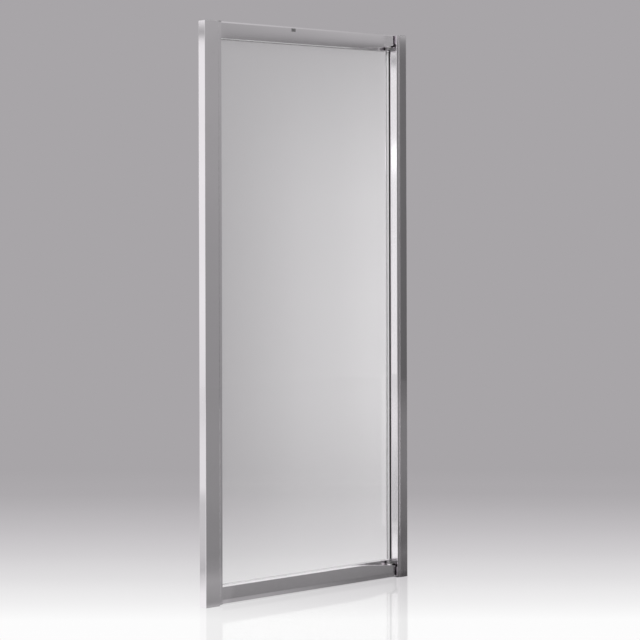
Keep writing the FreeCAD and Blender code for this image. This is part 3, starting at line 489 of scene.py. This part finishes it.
class DOOR_OT_profiles(bpy.types.Operator):
    """Finish the wall channels, posts, bars, rails and stile in polished silver"""
    bl_idname = "door.profiles"
    bl_label = "Polish Profiles"

    def execute(self, context):
        look = context.scene.door_look
        upright = silver_finish("silver_upright", look, ALONG_Z)
        # the level pieces and the lipped channel are darker copies of the same silver: painted shade
        level = silver_finish("silver_level", look, ALONG_X, 0.94)
        post_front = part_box("hinge_post")[0][1]
        # the lipped channel's step gets painted shade
        lipped = silver_finish("silver_lipped", look, ALONG_Z, 0.93, post_front, 5.0)
        dress(("wall_channel_left", "strike_post", "hinge_post", "leaf_closing_stile"), upright)
        dress(("wall_channel_right",), lipped)
        dress(("leaf_top_rail", "leaf_bottom_rail", "head_bar", "threshold"), level)
        return {"FINISHED"}


class DOOR_OT_cast_ends(bpy.types.Operator):
    """Finish the cast pivot blocks and corner blocks"""
    bl_idname = "door.cast_ends"
    bl_label = "Polish Cast Ends"

    def execute(self, context):
        cast = cast_finish("cast_end", context.scene.door_look)
        dress(("pivot_block_top", "pivot_block_bottom", "corner_block_top",
               "corner_block_bottom"), cast)
        return {"FINISHED"}


class DOOR_OT_glass(bpy.types.Operator):
    """Finish the glass pane"""
    bl_idname = "door.glass"
    bl_label = "Clear Glass"

    def execute(self, context):
        dress(("glass_pane",), glass_finish("clear_glass", context.scene.door_look))
        return {"FINISHED"}


class DOOR_OT_seals(bpy.types.Operator):
    """Finish the seals, gaskets and magnet strips"""
    bl_idname = "door.seals"
    bl_label = "Rubber Seals"

    def execute(self, context):
        look = context.scene.door_look
        dark = moulded_finish("dark_rubber", look.rubber, 0.55)
        grey = moulded_finish("grey_rubber", look.grey_seal, 0.5)
        magnet = moulded_finish("magnet_strip", MAGNET_STRIP, 0.6)
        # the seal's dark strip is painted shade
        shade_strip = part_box("hinge_seal")[0][0] + look.shade_strip_start
        dress(("hinge_seal",), clear_plastic("hinge_seal", look, (shade_strip, shade_strip + look.shade_strip_width)))
        dress(("glazing_gasket_bottom", "glazing_gasket_top"), clear_plastic("clear_gasket", look))
        dress(("leaf_magnet_carrier", "strike_magnet_carrier"), dark)
        dress(("glazing_gasket_closing", "head_seal", "threshold_seal", "sweep_seal"), grey)
        dress(("leaf_magnet", "strike_magnet"), magnet)
        return {"FINISHED"}


class DOOR_OT_mouldings(bpy.types.Operator):
    """Finish the moulded caps, covers, clip, bushes and washers"""
    bl_idname = "door.mouldings"
    bl_label = "Moulded Pieces"

    def execute(self, context):
        grey = moulded_finish("grey_moulding", GREY_MOULDING, 0.32)
        black = moulded_finish("black_moulding", BLACK_MOULDING, 0.4)
        white = moulded_finish("white_moulding", WHITE_MOULDING, 0.35)
        dress(("post_cap_left", "post_cap_right", "screw_covers_left", "screw_covers_right"), grey)
        dress(("rail_clip",), moulded_finish("clip_moulding", CLIP_MOULDING, 0.3))
        dress(("stile_cap_top", "stile_cap_bottom", "setting_blocks"), black)
        dress(("pivot_bush_top", "pivot_bush_bottom", "thrust_washer_top",
               "thrust_washer_bottom"), white)
        return {"FINISHED"}


def disc(net, middle, radius, thickness, inward, sides=32):
    """Round blank whose outer face lies at `middle` and whose body reaches inward along X."""
    turns = [2 * math.pi * i / sides for i in range(sides)]
    bevel = thickness * 0.12
    rings = []
    for x, size in ((0.0, radius - bevel), (bevel, radius), (thickness, radius)):
        rings.append([net.verts.new((middle.x + inward * x, middle.y + size * math.cos(t),
                                     middle.z + size * math.sin(t))) for t in turns])
    for first, second in zip(rings, rings[1:]):
        for i in range(sides):
            net.faces.new((first[i], first[(i + 1) % sides], second[(i + 1) % sides], second[i]))
    net.faces.new(list(reversed(rings[0])))
    net.faces.new(rings[-1])


class DOOR_OT_hole_blanks(bpy.types.Operator):
    """Close the wall channels' screw holes with thin blanks, so that their sides look unbroken"""
    bl_idname = "door.hole_blanks"
    bl_label = "Hole Blanks"

    def execute(self, context):
        look = context.scene.door_look
        upright = bpy.data.materials["silver_upright"]
        for side, inward in (("left", 1), ("right", -1)):
            low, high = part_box("wall_channel_" + side)
            wall = low[0] if inward > 0 else high[0]
            first, last = HOLE_END, cad_box[1][2] - HOLE_END
            net = bmesh.new()
            for i in range(HOLE_COUNT):
                z = first + (last - first) * i / (HOLE_COUNT - 1)
                disc(net, Vector((wall, (low[1] + high[1]) / 2, z)), look.hole_radius,
                     look.hole_blank, inward)
            bmesh.ops.recalc_face_normals(net, faces=net.faces)
            mesh = bpy.data.meshes.new("hole_blanks_" + side)
            net.to_mesh(mesh)
            net.free()
            piece = bpy.data.objects.new("hole_blanks_" + side, mesh)
            context.scene.collection.objects.link(piece)
            mesh.materials.append(upright)
            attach(piece, FRAME_BODY)
        return {"FINISHED"}


class DOOR_OT_hardware(bpy.types.Operator):
    """Finish the brackets, pins, joiners and screws"""
    bl_idname = "door.hardware"
    bl_label = "Steel Hardware"

    def execute(self, context):
        bright = steel_finish("bright_steel", BRIGHT_STEEL, 0.24)
        dark = steel_finish("dark_steel", DARK_STEEL, 0.3)
        dress(("pivot_pin_top", "pivot_pin_bottom", "joiner_top_left", "joiner_top_right",
               "joiner_bottom_left", "joiner_bottom_right", "joiner_screws", "corner_screws",
               "pivot_block_screws", "bracket_screws", "adjusting_screws_left",
               "adjusting_screws_right"), bright)
        dress(("pivot_bracket_top", "pivot_bracket_bottom", "pin_grub_screws"), dark)
        return {"FINISHED"}


class DOOR_OT_view(bpy.types.Operator):
    """Set the camera at the photograph's viewing angle"""
    bl_idname = "door.view"
    bl_label = "Set Camera"

    def execute(self, context):
        data = bpy.data.cameras.new("door_camera")
        camera = bpy.data.objects.new("door_camera", data)
        context.scene.collection.objects.link(camera)
        data.sensor_width = SENSOR_MM
        data.lens = LENS_MM
        data.shift_y = SHIFT_Y
        camera.location = EYE
        camera.rotation_euler = (math.radians(90), math.radians(VIEW_ROLL),
                                 math.radians(-VIEW_TURN))
        context.scene.camera = camera
        return {"FINISHED"}


# The tables below are the stage's light for rays that a mirror turned or that crossed the pane.
# They were laid out for the one camera place EYE. They belong to the stage, and are no
# property of the silver or of the glass.

# added for rays through the pane: by compass turn, and by rise
PANE_TURN = (135.0, 139.6)
PANE_ACROSS = ((0.0, 0.34), (0.13, 0.325), (0.3, 0.262), (0.52, 0.21), (0.8, 0.105), (1.0, 0.045))
PANE_RISE = (-0.16, 0.08)
PANE_UP = ((0.0, 0.36), (0.05, 0.38), (0.14, 0.60), (0.23, 0.80), (0.33, 0.98), (0.52, 1.0),
           (0.71, 0.88), (0.81, 0.70), (0.90, 0.48), (1.0, 0.22))

# floor as the camera sees it: screen level by depth along the view, in metres
FLOOR_NEAR, FLOOR_FAR = 6.4, 10.7
FLOOR_FADE = ((6.62, 252), (6.93, 240), (7.16, 233), (7.40, 224), (7.66, 217), (7.94, 208),
              (8.23, 201), (8.56, 193), (8.90, 186), (9.28, 179), (9.69, 173), (10.63, 168))

# floor for mirror rays: before the door, in line with the hinge post, across, and behind
BEFORE_DOOR = (
    (0.0, 0.355), (0.4, 0.34), (0.6286, 0.315), (0.703, 0.312), (0.792, 0.285), (0.881, 0.272),
    (0.9146, 0.31), (0.9406, 0.40), (0.9666, 0.36), (0.987, 0.33), (0.9944, 0.5), (1.0, 0.5))
BEFORE_POST = ((0.0, 1.06), (0.43, 0.96), (0.6, 1.0), (0.8, 0.84), (0.94, 0.82), (1.0, 0.86))
ACROSS_DOOR = ((0.0, 1.0), (0.045, 1.0), (0.07, 0.89), (0.48, 0.85), (0.70, 0.80), (0.89, 0.70),
               (0.93, 0.62), (1.0, 0.68))
BEHIND_DOOR = (
    (0.0, 1.05), (0.08, 0.99), (0.167, 0.75), (0.23, 0.56), (0.27, 0.565), (0.33, 0.62),
    (0.42, 0.64), (0.79, 0.66), (0.88, 0.72), (0.96, 0.85), (1.0, 0.89))
BEHIND_PANE = (
    (0.0, 1.1), (0.105, 1.1), (0.162, 0.95), (0.198, 0.80), (0.216, 0.74), (0.252, 0.58),
    (0.36, 0.58), (0.51, 0.61), (0.66, 0.69), (0.85, 0.82), (1.0, 0.86))

# backdrop for mirror rays: by compass turn in degrees
ROUND_SIDES = (
    (-180, 0.9), (-137, 1.03), (-105, 1.2), (-75, 0.8), (-55, 0.75), (-30, 0.7), (-5, 0.3),
    (15, 0.25), (36, 0.375), (50, 0.375), (62, 0.2), (95, 0.15), (112, 0.2), (125, 0.9),
    (140, 1.0), (180, 0.9))

# backdrop for mirror rays ahead: by rise, for the top rail's two ends and for the post
RAIL_NEAR_END = (
    (0.0, 0.50), (0.08, 0.68), (0.15, 0.85), (0.3, 0.9), (0.5, 0.97), (0.8, 1.03), (1.0, 1.04))
RAIL_FAR_END = (
    (0.0, 0.34), (0.1, 0.52), (0.2, 0.74), (0.3, 0.94), (0.4, 1.08), (0.5, 1.18), (0.8, 1.24),
    (1.0, 1.38))
POST_TOP = (
    (0.0, 0.94), (0.376, 1.1), (0.533, 1.2), (0.69, 1.35), (0.80, 1.8), (0.9, 2.4), (1.0, 2.8))

# backdrop for mirror rays: by height, low in front, behind, behind the pane, and at the channel
NEAR_LEVEL = (-0.15, 0.15)
LOW_FRONT = ((0.0, 0.84), (0.23, 0.87), (0.38, 0.925), (0.5, 1.0), (0.69, 1.125), (0.77, 1.14),
             (0.8, 1.22), (1.0, 1.4))
NOTCH_BEHIND = (
    (0.0, 0.78), (0.107, 0.81), (0.228, 0.89), (0.38, 1.0), (0.69, 1.0), (0.772, 0.98),
    (0.779, 0.90), (0.783, 0.70), (0.787, 0.46), (0.794, 0.44), (0.798, 0.62), (0.804, 0.76),
    (0.809, 1.0), (0.815, 1.15), (1.0, 1.1))
NOTCH_PANE = (
    (0.0, 0.9), (0.23, 0.97), (0.38, 1.02), (0.535, 1.03), (0.565, 1.05), (0.578, 1.2),
    (0.588, 1.6), (0.61, 1.6), (0.622, 1.18), (0.64, 1.0), (0.69, 0.98), (0.733, 1.0),
    (0.737, 0.92), (0.7405, 0.52), (0.745, 0.40), (0.749, 0.40), (0.7515, 0.52), (0.755, 0.66),
    (0.758, 0.76), (0.762, 1.0), (0.766, 1.15), (0.8, 1.2), (1.0, 1.05))
CHANNEL_SIDE = ((0.0, 0.58), (0.83, 0.55), (0.92, 1.0), (1.0, 1.0))


def compass_turn(x, y):
    """Turn of a way of looking in degrees: 0 to the front of the door, 90 to its pivot side."""
    return x.math("ARCTAN2", x, y * -1.0) * (180 / math.pi)


def pane_glow(sheet, way):
    """Brightness that floor and backdrop add, by the way of looking, for rays through the pane.

    On the floor that way runs from EYE, the camera's own place, so this follows the one view.
    """
    x, y, z = sheet.split(way)
    across = sheet.profile(compass_turn(x, y), *PANE_TURN, PANE_ACROSS)
    return across * sheet.profile(z, *PANE_RISE, PANE_UP)


def ray_kinds(sheet):
    """Four values, each 1 for its kind of ray and 0 for the others.

    They are: turned by a mirror, come only through the pane, straight from the camera, and turned
    by a mirror and through the pane as well.
    """
    bounced = sheet.node("ShaderNodeLightPath", out="Glossy Depth").clamped()
    through = sheet.node("ShaderNodeLightPath", out="Is Transmission Ray") * (1.0 - bounced)
    crossed = sheet.node("ShaderNodeLightPath", out="Transmission Depth").clamped() * bounced
    return bounced, through, sheet.node("ShaderNodeLightPath", out="Is Camera Ray"), crossed


def ground_finish():
    """Pale glossy floor: bright before the door, fading to the backdrop's grey behind it.

    Mirror rays and rays through the pane meet other tones than the camera's own rays do.
    """
    material, sheet = new_finish("pale_floor")
    grey = screen(BACKDROP_LEVEL)
    place = sheet.node("ShaderNodeNewGeometry", out="Position")
    x, y = sheet.split(place)[:2]
    depth = (x - EYE.x) * VIEW_X + (y - EYE.y) * VIEW_Y
    fade = sheet.profile(depth, FLOOR_NEAR, FLOOR_FAR, [
        ((d - FLOOR_NEAR) / (FLOOR_FAR - FLOOR_NEAR), screen(level)) for d, level in FLOOR_FADE])
    way = sheet.vector("NORMALIZE", sheet.vector("SUBTRACT", place, EYE))
    pane = sheet.vector("ADD", fade, pane_glow(sheet, way))
    bounced, through, seen, crossed = ray_kinds(sheet)

    # away from the main view the floor fades to the backdrop's grey in every direction
    radius = x.math("SQRT", x * x + y * y)
    across = (x - EYE.x) * VIEW_Y - (y - EYE.y) * VIEW_X
    off_view = sheet.span(depth, 8.2, 7.0) + sheet.span(across.math("ABSOLUTE", across), 1.5, 2.2)
    outer = sheet.span(radius, 1.4, 4.0, shape="SMOOTHSTEP") * off_view.clamped()
    pane = sheet.mix(outer, pane, grey)
    front = sheet.mix(outer, fade, grey)

    # tones for mirror rays
    before = sheet.profile(y, -7.0, 0.0, BEFORE_DOOR)
    aim = x + y * (VIEW_X / VIEW_Y)
    post = sheet.profile(y, -2.6, 0.0, BEFORE_POST)
    before = sheet.mix(sheet.span(aim, 0.385, 0.405), before, sheet.scaled(before, post))
    # painted shade: mirror rays see the floor darker just before the door's foot
    painted_foot_shade = sheet.span(y, -0.12, -0.06) * sheet.span(aim, -0.2, 0.2) * 0.45
    before = sheet.scaled(before, 1.0 - painted_foot_shade)
    aside = sheet.profile(aim, -0.42, 0.46, ACROSS_DOOR)
    behind = sheet.profile(y, 0.0, 2.4, BEHIND_DOOR)
    beyond_pane = sheet.profile(y, 0.0, 4.0, BEHIND_PANE)
    behind = sheet.mix(crossed, behind, beyond_pane)
    behind = sheet.scaled(behind, 1.0 - 0.6 * sheet.span(x, 0.46, 0.9))
    is_behind = (sheet.span(y, -0.01, 0.01) + sheet.span(x, -0.446, -0.452)).clamped()
    mirrored = sheet.mix(is_behind, before * aside + (FLOOR_LIGHT - FRONT_LIGHT), behind)

    glow = sheet.mix(bounced, front, mirrored)
    glow = sheet.mix(through, glow, pane)
    seen_any = (seen + through + bounced).clamped()
    plain = sheet.node("ShaderNodeEmission", {}, {"Color": sheet.scaled(glow, seen_any)})
    glow = sheet.vector("SUBTRACT", glow, (FLOOR_LIGHT, FLOOR_LIGHT, FLOOR_LIGHT))
    light = sheet.node("ShaderNodeEmission", {}, {
        "Color": sheet.scaled(glow, seen_any * (1 / (1 - FLOOR_GLOSS)))})
    matt = sheet.node("ShaderNodeBsdfDiffuse", {}, {"Color": shade(FLOOR_MATT)})
    body = sheet.node("ShaderNodeAddShader", {}, {0: light, 1: matt})
    gloss = sheet.node("ShaderNodeBsdfGlossy", {}, {"Color": shade(1.0), "Roughness": 0.06})
    near_door = sheet.node("ShaderNodeMixShader", {}, {0: FLOOR_GLOSS, 1: body, 2: gloss})
    distance = sheet.span(depth, 9.2, 10.6) + sheet.span(radius, 2.4, 3.8) * (1.0 - bounced)
    sheet.finish_with(sheet.node("ShaderNodeMixShader", {}, {
        0: distance.clamped(), 1: near_door, 2: plain}))
    return material


def surroundings():
    """Backdrop: plain grey to the camera, brighter through the pane, patterned for mirror rays."""
    world = bpy.data.worlds.new("surroundings")
    bpy.context.scene.world = world
    world.use_nodes = True
    sheet = Sheet(world.node_tree)
    grey = screen(BACKDROP_LEVEL)
    way = sheet.node("ShaderNodeTexCoord", out="Generated")
    x, y, z = sheet.split(way)
    turn = compass_turn(x, y)

    # round the door, with a dark card at its front right
    sides = sheet.profile(turn, -180, 180, [(a / 360 + 0.5, light) for a, light in ROUND_SIDES])
    card = sheet.span(turn, 44.85, 45.05) - sheet.span(turn, 62, 80)
    card = card * sheet.span(z, 0.3, 0.12)

    # ahead of the top rail and the hinge post
    ahead = y.math("MAXIMUM", y * -1.0, 0.01)
    aim, rise = x / ahead, z / ahead
    height = (0.1117, 0.1220)
    near_end = sheet.profile(rise, *height, RAIL_NEAR_END)
    far_end = sheet.profile(rise, *height, RAIL_FAR_END)
    rail = sheet.mix(sheet.span(aim, 0.865, 0.985), near_end, far_end)
    rail = sheet.mix(sheet.span(aim, 0.853, 0.857) * sheet.span(rise, 0.1100, 0.1112), 1.0, rail)
    post = sheet.profile(rise, 0.106, 0.1225, POST_TOP)
    rail = sheet.mix(sheet.span(aim, 1.0034, 1.0040), rail, post)
    rail = sheet.mix(sheet.span(z, 0.125, 0.15), rail, 1.0)
    sides = sheet.scaled(rail, sides * (1.0 - card * 0.53))

    # by height, before and behind the door
    facing = sheet.span(turn, 120, 126) - sheet.span(turn, 148, 154)
    low = sheet.profile(z, *NEAR_LEVEL, LOW_FRONT)
    high = sheet.span(z, 0.15, 0.6, 1.0, 1.7)
    notch = sheet.profile(z, *NEAR_LEVEL, NOTCH_BEHIND)
    beyond_pane = sheet.profile(z, *NEAR_LEVEL, NOTCH_PANE)
    bounced, through, seen, crossed = ray_kinds(sheet)
    is_back = sheet.span(y, -0.05, 0.05)
    back = sheet.mix(crossed, notch, beyond_pane)
    mirrored = sheet.scaled(sides, sheet.mix(is_back, low * high, back))
    past = sheet.profile(z, *NEAR_LEVEL, CHANNEL_SIDE)
    mirrored = sheet.mix(facing, mirrored, past)

    pane = sheet.vector("ADD", grey, pane_glow(sheet, way))
    level = sheet.mix(bounced, PLAIN_LIGHT, mirrored)
    level = sheet.mix(through, level, pane)
    level = sheet.mix(seen, level, grey)
    sheet.finish_with(sheet.node("ShaderNodeBackground", {}, {"Color": level, "Strength": 1.0}),
                      "ShaderNodeOutputWorld")


def lamp(name, place, aim, size, power):
    """Large soft lamp, which shows neither in the silver nor through the pane."""
    data = bpy.data.lights.new(name, "AREA")
    data.shape = "RECTANGLE"
    data.size, data.size_y = size
    data.energy = power
    obj = bpy.data.objects.new(name, data)
    bpy.context.scene.collection.objects.link(obj)
    obj.location = place
    way = Vector(aim) - Vector(place)
    obj.rotation_euler = way.to_track_quat("-Z", "Y").to_euler()
    obj.visible_glossy = False
    obj.visible_transmission = False
    return obj


LAMP_AIM = (0, 0, 0.9)
LAMP_SIZE = (2.4, 2.4)


class DOOR_OT_stage(bpy.types.Operator):
    """Build the pale floor, the plain surroundings and the soft lamps"""
    bl_idname = "door.stage"
    bl_label = "Build Stage"

    def execute(self, context):
        stage = context.scene.door_stage
        mesh = bpy.data.meshes.new("floor")
        net = bmesh.new()
        reach = stage.ground_reach
        corners = [net.verts.new((x * reach, y * reach, 0.0))
                   for x, y in ((-1, -1), (1, -1), (1, 1), (-1, 1))]
        net.faces.new(corners)
        net.to_mesh(mesh)
        net.free()
        floor = bpy.data.objects.new("floor", mesh)
        context.scene.collection.objects.link(floor)
        floor.data.materials.append(ground_finish())
        surroundings()
        lamp("key_lamp", (-3.2, -3.6, 3.4), LAMP_AIM, LAMP_SIZE, stage.key_power)
        lamp("back_lamp", (2.0, 3.6, 3.0), LAMP_AIM, LAMP_SIZE, stage.fill_power)
        context.scene.view_settings.view_transform = "Standard"
        return {"FINISHED"}


class DOOR_PT_panel(bpy.types.Panel):
    """Sidebar panel with the door's settings and steps"""
    bl_idname = "DOOR_PT_panel"
    bl_label = "Pivot Shower Door"
    bl_space_type = "VIEW_3D"
    bl_region_type = "UI"
    bl_category = "Shower Door"

    def draw(self, context):
        look = context.scene.door_look
        stage = context.scene.door_stage
        for group, names in (
                (look, ("silver", "cast", "silver_roughness", "cast_roughness", "edge_radius",
                        "hole_radius", "hole_blank", "glass_tint", "glass_edge", "haze", "rubber",
                        "clear_seal", "shade_strip_start", "shade_strip_width", "grey_seal")),
                (stage, ("key_power", "fill_power", "ground_reach"))):
            column = self.layout.column()
            for name in names:
                column.prop(group, name)
        for step in STEPS:
            self.layout.operator(step.bl_idname)


STEPS = (DOOR_OT_view, DOOR_OT_stage, DOOR_OT_profiles, DOOR_OT_cast_ends, DOOR_OT_glass,
         DOOR_OT_seals, DOOR_OT_mouldings, DOOR_OT_hardware, DOOR_OT_hole_blanks)
CLASSES = (DoorLook, DoorStage, *STEPS, DOOR_PT_panel)


def register():
    for cls in CLASSES:
        bpy.utils.register_class(cls)
    bpy.types.Scene.door_look = bpy.props.PointerProperty(type=DoorLook)
    bpy.types.Scene.door_stage = bpy.props.PointerProperty(type=DoorStage)


def unregister():
    del bpy.types.Scene.door_stage
    del bpy.types.Scene.door_look
    for cls in reversed(CLASSES):
        bpy.utils.unregister_class(cls)


def main():
    register()
    bpy.ops.door.view()
    bpy.ops.door.stage()
    bpy.ops.door.profiles()
    bpy.ops.door.cast_ends()
    bpy.ops.door.glass()
    bpy.ops.door.seals()
    bpy.ops.door.mouldings()
    bpy.ops.door.hardware()
    bpy.ops.door.hole_blanks()


if __name__ == "__main__":
    main()
